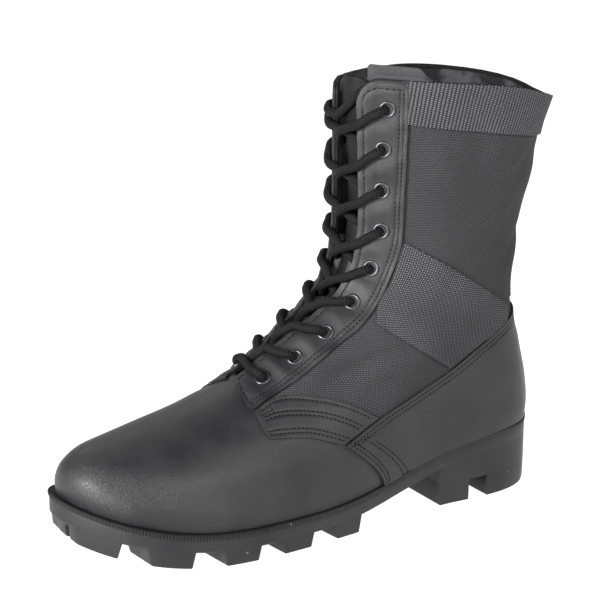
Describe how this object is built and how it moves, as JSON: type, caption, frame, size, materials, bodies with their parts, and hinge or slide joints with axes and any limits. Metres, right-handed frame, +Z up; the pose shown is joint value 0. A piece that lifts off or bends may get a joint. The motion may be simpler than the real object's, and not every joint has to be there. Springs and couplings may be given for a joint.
{
  "type": "jungle boot",
  "caption": "High laced left boot with leather foot and heel, cloth leg, webbing bands and a thick rubber sole with deep slanted lugs.",
  "frame": {"origin": "middle of the boot's box on the ground, under the sole", "axes": "+X towards the toe, +Y towards the boot's outer (left) side, +Z up"},
  "size_m": [0.3168, 0.113, 0.2504],
  "materials": {
    "leather": "satin",
    "canvas": "matte",
    "webbing": "matte",
    "lining": "matte",
    "rubber": "satin",
    "eyelet_metal": "gloss",
    "cord": "matte"
  },
  "bodies": {
    "root": {"outsole": "rubber", "insole": "lining", "upper": "leather", "tongue": "lining", "counter": "leather", "collar_band": "webbing", "backstay": "webbing", "eyestay_outer": "leather", "side_band_outer": "leather", "ankle_strap_outer": "webbing", "eyelet_outer_1": "eyelet_metal", "eyelet_outer_2": "eyelet_metal", "eyelet_outer_3": "eyelet_metal", "eyelet_outer_4": "eyelet_metal", "eyelet_outer_5": "eyelet_metal", "eyelet_outer_6": "eyelet_metal", "eyelet_outer_7": "eyelet_metal", "eyelet_outer_8": "eyelet_metal", "eyelet_outer_9": "eyelet_metal", "eyestay_inner": "leather", "side_band_inner": "leather", "ankle_strap_inner": "webbing", "eyelet_inner_1": "eyelet_metal", "eyelet_inner_2": "eyelet_metal", "eyelet_inner_3": "eyelet_metal", "eyelet_inner_4": "eyelet_metal", "eyelet_inner_5": "eyelet_metal", "eyelet_inner_6": "eyelet_metal", "eyelet_inner_7": "eyelet_metal", "eyelet_inner_8": "eyelet_metal", "eyelet_inner_9": "eyelet_metal", "lace_bar": "cord", "lace_cross_1": "cord", "lace_cross_2": "cord", "lace_cross_3": "cord", "lace_cross_4": "cord", "lace_cross_5": "cord", "lace_cross_6": "cord", "lace_cross_7": "cord", "lace_cross_8": "cord"}
  },
  "joints": []
}
